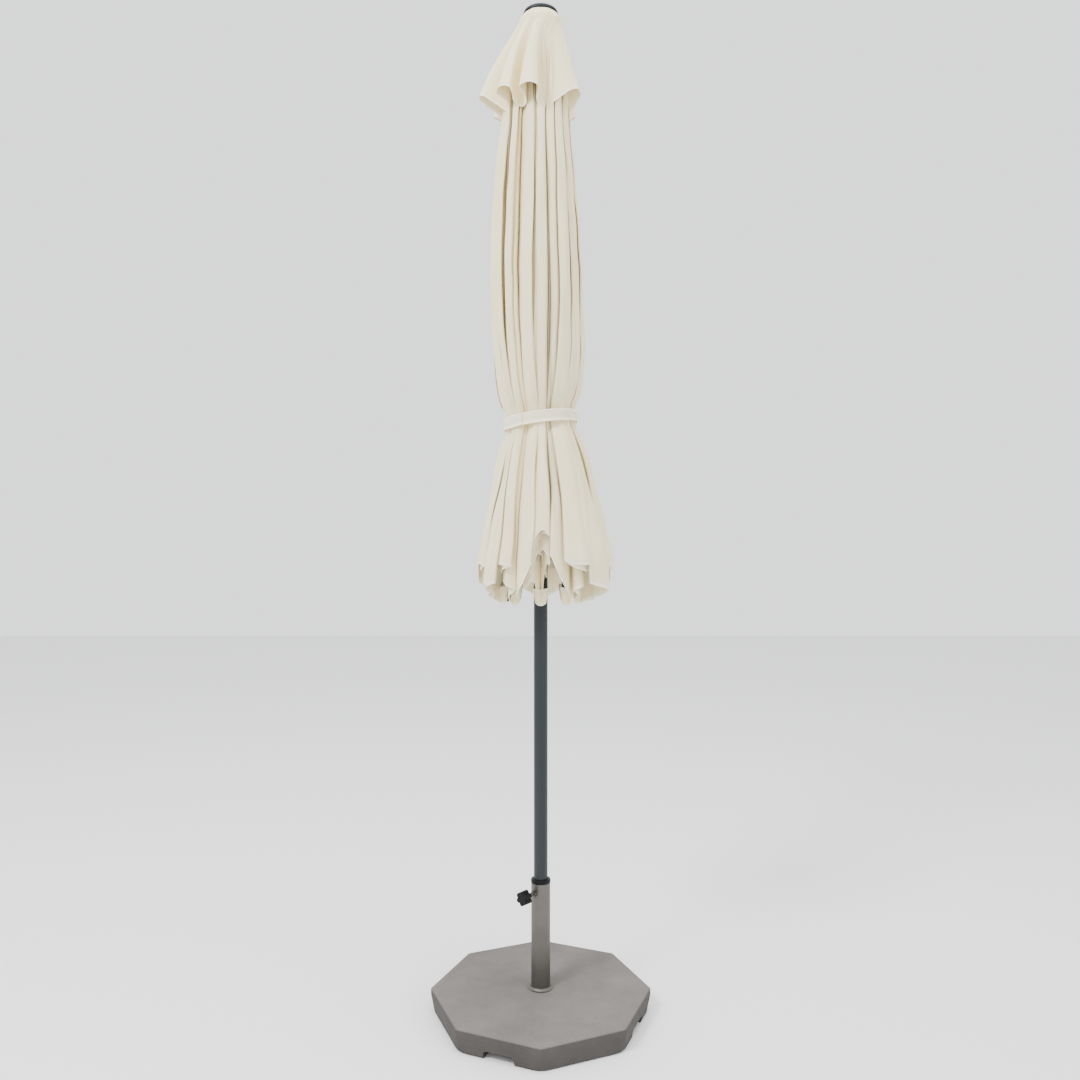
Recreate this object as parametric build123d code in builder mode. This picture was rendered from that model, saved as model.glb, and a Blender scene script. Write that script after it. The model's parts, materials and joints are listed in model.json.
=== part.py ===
"""Patio umbrella, furled and strapped, standing in an octagonal concrete base.

Millimetres, +Z up. The origin is the centre of the base's underside, on the
pole's axis. The umbrella is modelled furled: its eight ribs hang beside the
pole, two degrees out, and every other piece follows from that pose.
"""

from build123d import *
from math import asin, cos, degrees, radians, sin
import os

os.makedirs("parts", exist_ok=True)

# ---------------------------------------------------------------- driving sizes
FIT = 0.05  # radial clearance of every running fit

# Base
SLAB_R, SLAB_T = 278.0, 60.0  # corner radius of the octagon, thickness
SLAB_RIM = 18.0  # height of the sharp-cornered band at the slab's top
SLAB_FOOT_R = 272.0  # corner radius at the floor: the sides have a slight draft
CORNER_ROUND, FOOT_ROUND = 12.0, 60.0
SHOULDER_W, SHOULDER_H, SHOULDER_ROUND = 11.0, 5.0, 24.0  # soft shoulder inside a crisp top edge
GRIP_W, GRIP_H, GRIP_D, GRIP_ROUND = 78.0, 20.0, 34.0, 9.0  # hand recesses in four of the sides
BOLT_R, BOLT_HEAD_H, WASHER_T = 6.0, 7.5, 2.5
RECESS_R, RECESS_H = 24.0, 16.0

TUBE_R, TUBE_WALL, TUBE_TOP = 24.0, 1.5, 325.0
PLUG_H = 20.0
ROSETTE_R, ROSETTE_H = 33.4, 7.0
COLLAR_R, COLLAR_H, INSERT_DEPTH = 24.8, 9.0, 85.0

# Clamp screw: an M8 stud in a star knob
CLAMP_Z, CLAMP_AZIMUTH = TUBE_TOP - 23.5, -132.0  # degrees from +X
STUD_R, STUD_IN, STUD_OUT = 4.0, 17.7, 62.0
NUT_R, NUT_OUT = 7.5, 30.0
KNOB_R, KNOB_IN, KNOB_T, KNOB_LOBES = 18.0, 51.0, 21.0, 6
KNOB_NECK_R, KNOB_NECK_L = 8.5, 5.0

# Pole, in two lengths
POLE_R, POLE_WALL = 17.5, 1.5
FOOT_RIM = 3.0
POLE_FOOT = SLAB_T + PLUG_H + FOOT_RIM
POLE_JOINT = 1095.0
SPIGOT_DOWN, SPIGOT_UP = 90.0, 85.0
RIVET_R, RIVET_Z = 2.4, 1050.0
PIN_R, PIN_L, PIN_RING_R, PIN_AZIMUTH = 4.0, 58.0, 11.0, -112.5
PARK_Z = 1205.0  # the lock pin's storage hole, below the furled runner

# Linkage: hub pivots, ribs, struts and runner
RIBS = 8
HUB_Z, HUB_R = 2470.0, 38.0  # pivot circle in the top hub
RIB_L, RIB_W, RIB_D, RIB_WALL = 1430.0, 10.0, 14.0, 1.0
RIB_REST, RIB_OPEN = 2.0, 76.0  # a rib's angle from hanging straight down
EYE_L = 22.0  # solid end of a rib at the hub
ELBOW_S, ELBOW_E = 590.0, 14.0  # strut pivot: along the rib, and inside its axis
EAR_IN, EAR_T, EAR_R = 4.25, 2.5, 6.0
STRUT_L, STRUT_W, STRUT_D, STRUT_END = 606.0, 8.0, 9.0, 14.0
RUNNER_R = 26.0  # pivot circle in the runner
PIVOT_R = 2.5  # every pin of the linkage
HUB_PIN_L, STRUT_PIN_L = 21.0, 14.0
SEAT_PLAY = 1.0  # clearance of a strut's pin in the runner's open seat
SLEEVE_R, LUG_R, LUG_BELOW = 20.5, 34.0, 11.0
RUNNER_BELOW, RUNNER_ABOVE = 48.0, 9.0
TIP_W, TIP_D, TIP_BACK, TIP_OVER = 12.4, 16.4, 22.0, 8.0

# Top of the umbrella
HUB_BODY_R, HUB_UNDER, HUB_OVER, HUB_ROOF = 49.0, 15.0, 17.0, 8.0
POLE_TOP = HUB_Z + 2.0
CROWN_R, CROWN_T = 46.0, 2.0
FINIAL_R, FINIAL_Z, FINIAL_H, STEM_R = 44.0, 2512.0, 17.0, 12.0

# Fabric: (radius, height) of the furled outline
PANEL_T, VENT_T, STRAP_T = 7.0, 3.0, 2.4
PANEL_GAP = 0.35  # degrees, half the slit between neighbouring furled panels
PANEL_OUTLINE = [(62, 2440), (84, 2300), (88, 2235), (110, 1960), (116, 1740), (110, 1580),
                 (93, 1508), (93, 1471), (112, 1400), (136, 1320), (174, 1135), (106, 1032)]
VENT_OUTLINE = [(STEM_R + 1, 2511.7), (43, 2511.7), (56, 2486), (72, 2441), (87, 2395),
                (108, 2350), (122, 2318), (120, 2282)]
STRAP_Z, STRAP_H, STRAP_R = 1489.0, 31.0, 93.4

FROM_BELOW = (Align.CENTER, Align.CENTER, Align.MIN)


# ---------------------------------------------------------------- worked-out places
def strut_tilt(rib_angle):
    """The strut's angle from the vertical, in degrees, when the rib stands at rib_angle."""
    a = radians(rib_angle)
    reach = HUB_R + ELBOW_S * sin(a) - ELBOW_E * cos(a) - RUNNER_R
    return degrees(asin(reach / STRUT_L))


def runner_height(rib_angle):
    """Height of the runner's pivot circle when the ribs stand at rib_angle."""
    a, b = radians(rib_angle), radians(strut_tilt(rib_angle))
    return HUB_Z - ELBOW_S * cos(a) - ELBOW_E * sin(a) - STRUT_L * cos(b)


RUNNER_Z = runner_height(RIB_REST)
RUNNER_OPEN_Z = runner_height(RIB_OPEN)
LOCK_Z = RUNNER_OPEN_Z - RUNNER_BELOW - PIN_R - 1
SLAB_APOTHEM = SLAB_R * cos(radians(22.5))


def azimuth(i):
    """Azimuth of rib i in degrees; rib 1 is at the front, on -Y."""
    return -90.0 + 360.0 / RIBS * (i - 1)


def outward(angle):
    """Horizontal direction at an azimuth in degrees."""
    return Vector(cos(radians(angle)), sin(radians(angle)), 0)


def up(height):
    return Vector(0, 0, height)


def rib_plane(i):
    """Rib i's own plane: X across it, Y away from the pole, Z from the hub to the tip."""
    n = outward(azimuth(i))
    along = n * sin(radians(RIB_REST)) - up(cos(radians(RIB_REST)))
    return Plane(n * HUB_R + up(HUB_Z), outward(azimuth(i) + 90), along)


def strut_plane(i):
    """Strut i's own plane: its elbow pivot at the origin, Z down to the runner."""
    tilt = radians(strut_tilt(RIB_REST))
    along = outward(azimuth(i)) * -sin(tilt) - up(cos(tilt))
    elbow = rib_plane(i).from_local_coords(Vector(0, -ELBOW_E, ELBOW_S))
    return Plane(elbow, outward(azimuth(i) + 90), along)


def panel_plane(i):
    """The sector from rib i to rib i + 1, starting half a slit past rib i."""
    return Plane.XY.rotated((0, 0, azimuth(i) + PANEL_GAP))


def pivot_plane(i, radius, height):
    """Plane whose Z is the pivot axis of rib i on a pivot circle."""
    n = outward(azimuth(i))
    return Plane(n * radius + up(height), n, outward(azimuth(i) + 90))


def radial_plane(angle, distance, height):
    """Plane across a radial axis, looking out, at a distance from the pole's axis."""
    out = outward(angle)
    return Plane(out * distance + up(height), up(1), out)


def clamp_plane(distance):
    return radial_plane(CLAMP_AZIMUTH, distance, CLAMP_Z)


def save(part, name):
    part.label = name
    export_step(part, f"parts/{name}.step")


def save_copies(part, name, plane_of):
    """One file for each of the eight places of a repeated piece."""
    for i in range(1, RIBS + 1):
        with BuildPart() as copy:
            with Locations(plane_of(i).location):
                add(part)
        save(copy.part, f"{name}_{i}")


# ---------------------------------------------------------------- base
with BuildPart() as base_slab:
    with BuildSketch(Plane.XY):
        RegularPolygon(SLAB_FOOT_R, 8)
        fillet(vertices(), FOOT_ROUND)
    with BuildSketch(Plane.XY.offset(SLAB_T - SLAB_RIM)):
        RegularPolygon(SLAB_R, 8)
        fillet(vertices(), CORNER_ROUND)
    loft()
    fillet(edges().group_by(Axis.Z)[0], 7)
    with BuildSketch(Plane.XY.offset(SLAB_T - SLAB_RIM)):
        RegularPolygon(SLAB_R, 8)
        fillet(vertices(), CORNER_ROUND)
    extrude(amount=SLAB_RIM)
    top = faces().sort_by(Axis.Z)[-1]
    chamfer(top.edges(), length=SHOULDER_W, length2=SHOULDER_H, reference=top)
    fillet(edges().group_by(Axis.Z)[-1], SHOULDER_ROUND)
    # hand recesses with rounded corners, open below, in every other side
    for side in range(4):
        across = Plane.XY.rotated((0, 0, 67.5 + 90 * side))
        face_on = Plane(origin=across.x_dir * (SLAB_APOTHEM - GRIP_D), x_dir=across.y_dir, z_dir=across.x_dir)
        with BuildSketch(face_on):
            RectangleRounded(GRIP_W, 2 * GRIP_H, GRIP_ROUND)
        extrude(amount=2 * GRIP_D, mode=Mode.SUBTRACT)
    # bolt hole, with a recess under the slab for the head and its washer
    Cylinder(BOLT_R + 0.75, SLAB_T, align=FROM_BELOW, mode=Mode.SUBTRACT)
    Cylinder(RECESS_R, RECESS_H, align=FROM_BELOW, mode=Mode.SUBTRACT)
save(base_slab.part, "base_slab")

with BuildPart() as base_washer:
    with Locations((0, 0, RECESS_H - WASHER_T)):
        Cylinder(RECESS_R - 3, WASHER_T, align=FROM_BELOW)
        Cylinder(BOLT_R, WASHER_T, align=FROM_BELOW, mode=Mode.SUBTRACT)
save(base_washer.part, "base_washer")

with BuildPart() as base_bolt:
    with BuildSketch(Plane.XY.offset(RECESS_H - WASHER_T - BOLT_HEAD_H)):
        RegularPolygon(9.5, 6, major_radius=False)
    extrude(amount=BOLT_HEAD_H)
    with Locations((0, 0, RECESS_H - WASHER_T)):
        Cylinder(BOLT_R, SLAB_T + PLUG_H - RECESS_H, align=FROM_BELOW)
    chamfer(edges().group_by(Axis.Z)[-1], 1)
save(base_bolt.part, "base_bolt")

# steel disc welded into the foot of the tube and tapped for the bolt
with BuildPart() as tube_plug:
    with Locations((0, 0, SLAB_T)):
        Cylinder(TUBE_R - TUBE_WALL, PLUG_H, align=FROM_BELOW)
        Cylinder(BOLT_R, PLUG_H, align=FROM_BELOW, mode=Mode.SUBTRACT)
save(tube_plug.part, "tube_plug")

with BuildPart() as base_tube:
    with Locations((0, 0, SLAB_T)):
        Cylinder(TUBE_R, TUBE_TOP - SLAB_T, align=FROM_BELOW)
        Cylinder(TUBE_R - TUBE_WALL, TUBE_TOP - SLAB_T, align=FROM_BELOW, mode=Mode.SUBTRACT)
    with Locations(clamp_plane(TUBE_R - 4).location):
        Cylinder(STUD_R + FIT, 10, align=FROM_BELOW, mode=Mode.SUBTRACT)
save(base_tube.part, "base_tube")

# loose cover ring that hides the tube's foot
with BuildPart() as base_rosette:
    with BuildSketch(Plane.XZ):
        with BuildLine():
            inner = TUBE_R + FIT
            Polyline((inner, SLAB_T + ROSETTE_H), (inner, SLAB_T), (ROSETTE_R, SLAB_T), (ROSETTE_R, SLAB_T + 1.2))
            SagittaArc((ROSETTE_R, SLAB_T + 1.2), (inner + 2, SLAB_T + ROSETTE_H), 1.8)
            Line((inner + 2, SLAB_T + ROSETTE_H), (inner, SLAB_T + ROSETTE_H))
        make_face()
    revolve(axis=Axis.Z)
save(base_rosette.part, "base_rosette")

# plastic reducer between the tube and the thinner pole
with BuildPart() as tube_insert:
    with Locations((0, 0, TUBE_TOP - INSERT_DEPTH)):
        Cylinder(TUBE_R - TUBE_WALL, INSERT_DEPTH, align=FROM_BELOW)
    with Locations((0, 0, TUBE_TOP)):
        Cylinder(COLLAR_R, COLLAR_H, align=FROM_BELOW)
    fillet(edges().group_by(Axis.Z)[-1], 2.5)
    with Locations((0, 0, TUBE_TOP - INSERT_DEPTH)):
        Cylinder(POLE_R + FIT, INSERT_DEPTH + COLLAR_H, align=FROM_BELOW, mode=Mode.SUBTRACT)
    with Locations(clamp_plane(POLE_R - 2).location):
        Cylinder(STUD_R + FIT, 10, align=FROM_BELOW, mode=Mode.SUBTRACT)
save(tube_insert.part, "tube_insert")

# ---------------------------------------------------------------- clamp screw
# threaded boss welded to the tube
with BuildPart() as clamp_nut:
    with BuildSketch(clamp_plane(TUBE_R - 3)):
        Circle(NUT_R)
        Circle(STUD_R + FIT, mode=Mode.SUBTRACT)
    extrude(amount=NUT_OUT - TUBE_R + 3)
    with Locations((0, 0, CLAMP_Z)):
        Cylinder(TUBE_R, 4 * NUT_R, mode=Mode.SUBTRACT)
save(clamp_nut.part, "clamp_nut")

with BuildPart() as clamp_stud:
    with Locations(clamp_plane(STUD_IN).location):
        Cylinder(STUD_R, STUD_OUT - STUD_IN, align=FROM_BELOW)
save(clamp_stud.part, "clamp_stud")

with BuildPart() as clamp_knob:
    with BuildSketch(clamp_plane(KNOB_IN)):
        Circle(KNOB_R - 4)
        with PolarLocations(KNOB_R - 6, KNOB_LOBES):
            Circle(6)
    extrude(amount=KNOB_T)
    fillet(edges().sort_by(Axis((0, 0, 0), outward(CLAMP_AZIMUTH)))[-2 * KNOB_LOBES:], 2)
    with BuildSketch(clamp_plane(KNOB_IN - KNOB_NECK_L)):
        Circle(KNOB_NECK_R)
    extrude(amount=KNOB_NECK_L)
    with Locations(clamp_plane(KNOB_IN - KNOB_NECK_L).location):
        Cylinder(STUD_R + FIT, STUD_OUT - KNOB_IN + KNOB_NECK_L + FIT, align=FROM_BELOW, mode=Mode.SUBTRACT)
save(clamp_knob.part, "clamp_knob")

# ---------------------------------------------------------------- pole
with BuildPart() as pole_foot_plug:
    with Locations((0, 0, POLE_FOOT)):
        Cylinder(POLE_R - POLE_WALL, 24, align=FROM_BELOW)
    with Locations((0, 0, POLE_FOOT - FOOT_RIM)):
        Cylinder(POLE_R, FOOT_RIM, align=FROM_BELOW)
    chamfer(edges().group_by(Axis.Z)[0], 1.5)
save(pole_foot_plug.part, "pole_foot_plug")

with BuildPart() as lower_pole:
    with Locations((0, 0, POLE_FOOT)):
        Cylinder(POLE_R, POLE_JOINT - POLE_FOOT, align=FROM_BELOW)
        Cylinder(POLE_R - POLE_WALL, POLE_JOINT - POLE_FOOT, align=FROM_BELOW, mode=Mode.SUBTRACT)
    with Locations((0, 0, RIVET_Z)):
        Cylinder(RIVET_R, 3 * POLE_R, rotation=(90, 0, 0), mode=Mode.SUBTRACT)
save(lower_pole.part, "lower_pole")

# inner sleeve, riveted into the lower pole; the upper pole slips over it
with BuildPart() as pole_spigot:
    with Locations((0, 0, POLE_JOINT - SPIGOT_DOWN)):
        Cylinder(POLE_R - POLE_WALL, SPIGOT_DOWN, align=FROM_BELOW)
    with Locations((0, 0, POLE_JOINT)):
        Cylinder(POLE_R - POLE_WALL - FIT, SPIGOT_UP, align=FROM_BELOW)
    chamfer(edges().group_by(Axis.Z)[-1], 0.8)
    with Locations((0, 0, POLE_JOINT - SPIGOT_DOWN)):
        Cylinder(POLE_R - 2 * POLE_WALL, SPIGOT_DOWN + SPIGOT_UP, align=FROM_BELOW, mode=Mode.SUBTRACT)
    with Locations((0, 0, RIVET_Z)):
        Cylinder(RIVET_R, 3 * POLE_R, rotation=(90, 0, 0), mode=Mode.SUBTRACT)
save(pole_spigot.part, "pole_spigot")

with BuildPart() as spigot_rivets:
    for side in (90, -90):
        with Locations(radial_plane(side, POLE_R - 2 * POLE_WALL, RIVET_Z).location):
            Cylinder(RIVET_R, 2 * POLE_WALL + 1.4, align=FROM_BELOW)
        with Locations(radial_plane(side, POLE_R + 0.2, RIVET_Z).location):
            Cylinder(1.8 * RIVET_R, 1.2, align=FROM_BELOW)
save(spigot_rivets.part, "spigot_rivets")

with BuildPart() as upper_pole:
    with Locations((0, 0, POLE_JOINT)):
        Cylinder(POLE_R, POLE_TOP - POLE_JOINT, align=FROM_BELOW)
        Cylinder(POLE_R - POLE_WALL, POLE_TOP - POLE_JOINT, align=FROM_BELOW, mode=Mode.SUBTRACT)
    for hole_z in (PARK_Z, LOCK_Z):
        with Locations(radial_plane(PIN_AZIMUTH, 0, hole_z).location):
            Cylinder(PIN_R + FIT, 3 * POLE_R, mode=Mode.SUBTRACT)
save(upper_pole.part, "upper_pole")

# steel pin that holds the open runner up, kept in the pole's lower hole
with BuildPart() as lock_pin:
    with Locations(radial_plane(PIN_AZIMUTH, 5 - PIN_L / 2, PARK_Z).location):
        Cylinder(PIN_R, PIN_L - 5, align=FROM_BELOW)
    with Locations(radial_plane(PIN_AZIMUTH, PIN_L / 2 - 1, PARK_Z).location):
        Cylinder(PIN_R + 2, 3, align=FROM_BELOW)
    with Locations(radial_plane(PIN_AZIMUTH, PIN_L / 2 + 2 + PIN_RING_R, PARK_Z).location):
        Torus(PIN_RING_R, 2, rotation=(90, 0, 0))
save(lock_pin.part, "lock_pin")

# ---------------------------------------------------------------- top hub
with BuildPart() as top_hub:
    with Locations((0, 0, HUB_Z - HUB_UNDER)):
        Cylinder(HUB_BODY_R, HUB_UNDER + HUB_OVER, align=FROM_BELOW)
    fillet(edges().group_by(Axis.Z)[-1], 4)
    with Locations((0, 0, HUB_Z - HUB_UNDER)):
        Cylinder(POLE_R, POLE_TOP - HUB_Z + HUB_UNDER, align=FROM_BELOW, mode=Mode.SUBTRACT)
        Cylinder(STUD_R, HUB_UNDER + HUB_OVER, align=FROM_BELOW, mode=Mode.SUBTRACT)
    # a slot for each rib's eye, open below and outwards
    with BuildSketch(Plane.XY.offset(HUB_Z - HUB_UNDER)):
        with PolarLocations(HUB_R - 9, RIBS):
            Rectangle(40, RIB_W + 1, align=(Align.MIN, Align.CENTER))
    extrude(amount=HUB_UNDER + HUB_OVER - HUB_ROOF, mode=Mode.SUBTRACT)
    with Locations(*[pivot_plane(i, HUB_R, HUB_Z).location for i in range(1, RIBS + 1)]):
        Cylinder(PIVOT_R, HUB_PIN_L, mode=Mode.SUBTRACT)
save(top_hub.part, "top_hub")

with BuildPart() as hub_pins:
    with Locations(*[pivot_plane(i, HUB_R, HUB_Z).location for i in range(1, RIBS + 1)]):
        Cylinder(PIVOT_R, HUB_PIN_L)
save(hub_pins.part, "hub_pins")

with BuildPart() as finial_stud:
    with Locations((0, 0, POLE_TOP)):
        Cylinder(STUD_R, FINIAL_Z - POLE_TOP, align=FROM_BELOW)
save(finial_stud.part, "finial_stud")

with BuildPart() as finial_cap:
    dome_top, stem_z = FINIAL_Z + FINIAL_H, HUB_Z + HUB_OVER + CROWN_T
    with BuildSketch(Plane.XZ):
        with BuildLine():
            Polyline((0, dome_top), (0, FINIAL_Z), (FINIAL_R, FINIAL_Z), (FINIAL_R, FINIAL_Z + 3))
            Bezier((FINIAL_R, FINIAL_Z + 3), (FINIAL_R, FINIAL_Z + 12), (26, dome_top), (0, dome_top))
        make_face()
    revolve(axis=Axis.Z)
    with Locations((0, 0, stem_z)):
        Cylinder(STEM_R, FINIAL_Z - stem_z, align=FROM_BELOW)
        Cylinder(STUD_R, FINIAL_Z - stem_z, align=FROM_BELOW, mode=Mode.SUBTRACT)
save(finial_cap.part, "finial_cap")

# ---------------------------------------------------------------- runner
with BuildPart() as runner:
    with Locations((0, 0, RUNNER_Z - RUNNER_BELOW)):
        Cylinder(SLEEVE_R, RUNNER_BELOW + RUNNER_ABOVE, align=FROM_BELOW)
    with Locations((0, 0, RUNNER_Z - LUG_BELOW)):
        Cylinder(LUG_R, LUG_BELOW + RUNNER_ABOVE, align=FROM_BELOW)
    fillet(edges().filter_by(GeomType.CIRCLE).sort_by(SortBy.RADIUS)[-2:], 1.5)
    with Locations((0, 0, RUNNER_Z - RUNNER_BELOW)):
        Cylinder(POLE_R + FIT, RUNNER_BELOW + RUNNER_ABOVE, align=FROM_BELOW, mode=Mode.SUBTRACT)
    # through slots for the struts' ends
    with BuildSketch(Plane.XY.offset(RUNNER_Z - LUG_BELOW)):
        with PolarLocations(SLEEVE_R, RIBS):
            Rectangle(20, STRUT_W + 1, align=(Align.MIN, Align.CENTER))
    extrude(amount=LUG_BELOW + RUNNER_ABOVE, mode=Mode.SUBTRACT)
    # seats for the struts' pins, open downwards
    with Locations(*[pivot_plane(i, RUNNER_R, RUNNER_Z).location for i in range(1, RIBS + 1)]):
        Cylinder(PIVOT_R + SEAT_PLAY, STRUT_PIN_L + 0.6, mode=Mode.SUBTRACT)
    with BuildSketch(Plane.XY.offset(RUNNER_Z - LUG_BELOW)):
        with PolarLocations(RUNNER_R, RIBS):
            Rectangle(2 * (PIVOT_R + SEAT_PLAY), STRUT_PIN_L + 0.6)
    extrude(amount=LUG_BELOW, mode=Mode.SUBTRACT)
save(runner.part, "runner")

# ---------------------------------------------------------------- ribs and struts
# Each is made once in its own plane and copied into its eight places.
with BuildPart() as rib:
    with BuildSketch(Plane.XY.offset(EYE_L)):
        RectangleRounded(RIB_W, RIB_D, 3)
        RectangleRounded(RIB_W - 2 * RIB_WALL, RIB_D - 2 * RIB_WALL, 3 - RIB_WALL, mode=Mode.SUBTRACT)
    extrude(amount=RIB_L - EYE_L)
    with BuildSketch(Plane.YZ):
        Circle(RIB_D / 2)
        with Locations((0, EYE_L / 2)):
            Rectangle(RIB_D, EYE_L)
    extrude(amount=RIB_W / 2, both=True)
    # the elbow bracket's two ears, one each side of the rib
    for ear_x in (EAR_IN, -EAR_IN - EAR_T):
        with BuildSketch(Plane.YZ.offset(ear_x)):
            with Locations((-ELBOW_E, ELBOW_S)):
                Circle(EAR_R)
            with Locations((RIB_D / 2 - 3, ELBOW_S)):
                Rectangle(ELBOW_E + RIB_D / 2 - 3, 2 * EAR_R, align=(Align.MAX, Align.CENTER))
            with Locations((0, ELBOW_S)):
                Rectangle(RIB_D - 6, 40)
        extrude(amount=EAR_T)
    with Locations((0, 0, 0), (0, -ELBOW_E, ELBOW_S)):
        Cylinder(PIVOT_R + FIT, 3 * RIB_W, rotation=(0, 90, 0), mode=Mode.SUBTRACT)
save_copies(rib.part, "rib", rib_plane)

with BuildPart() as rib_tip:
    with BuildSketch(Plane.XY.offset(RIB_L - TIP_BACK)):
        RectangleRounded(TIP_W, TIP_D, 4)
    extrude(amount=TIP_BACK + TIP_OVER)
    fillet(edges().group_by(Axis.Z)[-1], 3)
    with BuildSketch(Plane.XY.offset(RIB_L - TIP_BACK)):
        RectangleRounded(RIB_W, RIB_D, 3)
    extrude(amount=TIP_BACK, mode=Mode.SUBTRACT)
save_copies(rib_tip.part, "rib_tip", rib_plane)

with BuildPart() as strut:
    with BuildSketch(Plane.XY.offset(STRUT_END)):
        RectangleRounded(STRUT_W, STRUT_D, 2.5)
        RectangleRounded(STRUT_W - 2, STRUT_D - 2, 1.5, mode=Mode.SUBTRACT)
    extrude(amount=STRUT_L - 2 * STRUT_END)
    with BuildSketch(Plane.YZ):
        with Locations((0, 0), (0, STRUT_L)):
            Circle(STRUT_D / 2)
        with Locations((0, STRUT_END / 2), (0, STRUT_L - STRUT_END / 2)):
            Rectangle(STRUT_D, STRUT_END)
    extrude(amount=STRUT_W / 2, both=True)
    # the pins riveted through its two ends
    with Locations((0, 0, 0), (0, 0, STRUT_L)):
        Cylinder(PIVOT_R, STRUT_PIN_L, rotation=(0, 90, 0))
save_copies(strut.part, "strut", strut_plane)

# ---------------------------------------------------------------- canopy
# Every furled panel fills the sector between two ribs, clear of ribs and struts.
with BuildPart() as canopy_panel:
    with BuildSketch(Plane.XZ):
        with BuildLine():
            outer = Polyline(*PANEL_OUTLINE)
            inner = Polyline(*[(r - PANEL_T, z) for r, z in PANEL_OUTLINE])
            Line(outer @ 0, inner @ 0)
            Line(outer @ 1, inner @ 1)
        make_face()
    revolve(axis=Axis.Z, revolution_arc=360 / RIBS - 2 * PANEL_GAP)
save_copies(canopy_panel.part, "canopy_panel", panel_plane)

# round patch at the canopy's centre, clamped between the hub and the finial
with BuildPart() as canopy_crown:
    with Locations((0, 0, HUB_Z + HUB_OVER)):
        Cylinder(CROWN_R, CROWN_T, align=FROM_BELOW)
        Cylinder(STUD_R, CROWN_T, align=FROM_BELOW, mode=Mode.SUBTRACT)
save(canopy_crown.part, "canopy_crown")

with BuildPart() as vent_cap:
    with BuildSketch(Plane.XZ):
        with BuildLine():
            outer = Polyline(*VENT_OUTLINE)
            top, shoulder = VENT_OUTLINE[0], VENT_OUTLINE[1]
            inner = Polyline((top[0], top[1] - VENT_T), (shoulder[0] - VENT_T / 2, shoulder[1] - VENT_T),
                             *[(r - VENT_T, z) for r, z in VENT_OUTLINE[2:]])
            Line(outer @ 0, inner @ 0)
            Line(outer @ 1, inner @ 1)
        make_face()
    revolve(axis=Axis.Z)
save(vent_cap.part, "vent_cap")

with BuildPart() as tie_strap:
    with Locations((0, 0, STRAP_Z)):
        Cylinder(STRAP_R + STRAP_T, STRAP_H)
        Cylinder(STRAP_R, STRAP_H, mode=Mode.SUBTRACT)
save(tie_strap.part, "tie_strap")

print(f"runner {RUNNER_Z:.2f} to {RUNNER_OPEN_Z:.2f}, strut {strut_tilt(RIB_REST):.4f} to {strut_tilt(RIB_OPEN):.4f}")
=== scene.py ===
"""Looks of the patio umbrella: a furled, strapped canopy on its pole and concrete base."""

import bpy
import json
import math
import numpy as np
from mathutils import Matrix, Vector


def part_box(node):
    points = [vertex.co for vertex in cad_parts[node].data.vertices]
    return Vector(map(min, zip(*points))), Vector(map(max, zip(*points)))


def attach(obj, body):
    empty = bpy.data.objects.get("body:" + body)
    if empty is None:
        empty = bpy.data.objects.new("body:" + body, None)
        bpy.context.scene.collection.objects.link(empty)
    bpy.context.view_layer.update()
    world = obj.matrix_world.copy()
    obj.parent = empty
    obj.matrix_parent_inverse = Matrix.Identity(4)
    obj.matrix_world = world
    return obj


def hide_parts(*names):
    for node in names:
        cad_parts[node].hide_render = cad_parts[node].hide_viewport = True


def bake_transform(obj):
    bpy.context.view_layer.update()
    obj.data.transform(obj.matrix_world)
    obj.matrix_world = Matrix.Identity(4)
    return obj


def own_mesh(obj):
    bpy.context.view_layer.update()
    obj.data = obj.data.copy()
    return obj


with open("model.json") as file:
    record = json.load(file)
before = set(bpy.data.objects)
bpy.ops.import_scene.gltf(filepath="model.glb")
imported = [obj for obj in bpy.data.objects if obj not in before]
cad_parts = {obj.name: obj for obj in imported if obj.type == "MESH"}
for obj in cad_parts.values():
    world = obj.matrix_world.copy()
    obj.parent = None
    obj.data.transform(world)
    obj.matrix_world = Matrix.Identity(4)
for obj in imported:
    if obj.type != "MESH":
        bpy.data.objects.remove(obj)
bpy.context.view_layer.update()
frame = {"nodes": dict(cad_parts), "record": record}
record = frame["record"]
joints = {j["name"]: j for j in record["behaviour"]["joints"]}

GORES = 8
SECTOR = 2 * math.pi / GORES


# ---------------------------------------------------------------- small helpers
def smooth(x, low, high):
    """0 below low, 1 above high, and smooth between them."""
    t = np.clip((np.asarray(x, float) - low) / (high - low), 0, 1)
    return t * t * (3 - 2 * t)


def fold(value, low, high, start, end):
    """start before low and end after high, easing between."""
    return start + (end - start) * smooth(value, low, high)


def ripple(x, seed, octaves):
    """Smooth seeded noise along x, from about -1 to 1, with features about 1 apart."""
    rng = np.random.default_rng(seed)
    total = np.zeros_like(np.asarray(x, float))
    for octave in range(octaves):
        total += np.sin(x * 2.1 * 1.7 ** octave + rng.uniform(0, 6.28)) * 0.6 ** octave
    return total / 1.9


def azimuth(rib):
    """Azimuth of a rib; rib 1 is at the front, on -Y."""
    return -math.pi / 2 + SECTOR * (rib - 1)


def add_map(obj, name, values):
    """Give a mesh a UV map from one pair of values per vertex."""
    layer = obj.data.uv_layers.new(name=name)
    corners = np.empty(len(obj.data.loops), np.int32)
    obj.data.loops.foreach_get("vertex_index", corners)
    layer.data.foreach_set("uv", values.reshape(-1, 2)[corners].astype(np.float32).ravel())


def pairs(first, second):
    """Two arrays that broadcast together, as one array of pairs."""
    return np.stack(np.broadcast_arrays(first, second), axis=-1)


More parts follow.
